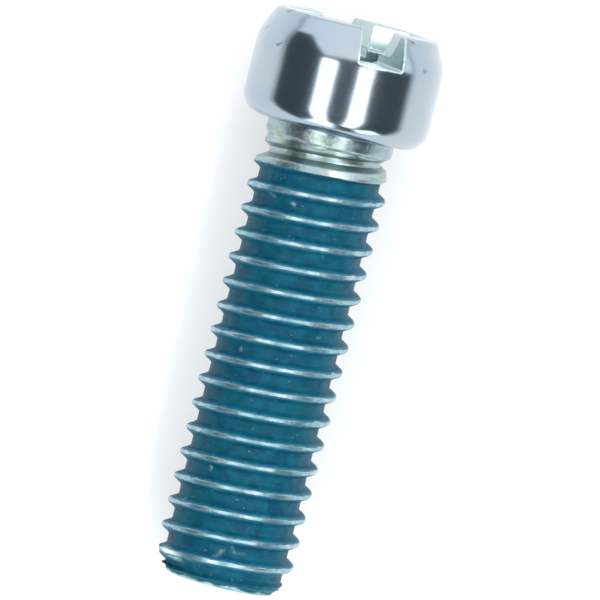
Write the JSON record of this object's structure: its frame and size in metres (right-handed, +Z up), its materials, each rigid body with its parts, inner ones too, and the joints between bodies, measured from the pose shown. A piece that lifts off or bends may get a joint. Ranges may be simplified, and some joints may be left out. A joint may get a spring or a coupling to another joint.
{
  "type": "adjusting screw",
  "caption": "Screw with a rounded cylindrical head, a slot with a cross recess, a right-hand thread with a blue locking coat and a flat end, lying on its side.",
  "frame": {"origin": "centre of the screw's length and width, on the surface that it lies on", "axes": "+Y along the screw from its tip to its head, +Z up, +X to the right of the picture; the screw's own axis rises 3.2 degrees towards the head, because the head is thicker than the thread"},
  "size_m": [0.0052, 0.0162, 0.0054],
  "materials": {
    "zinc_plated_steel": "bright zinc plate",
    "blue_locking_coat": "satin dried film"
  },
  "bodies": {
    "root": {"screw": "zinc_plated_steel", "thread_coating": "blue_locking_coat"}
  },
  "joints": []
}
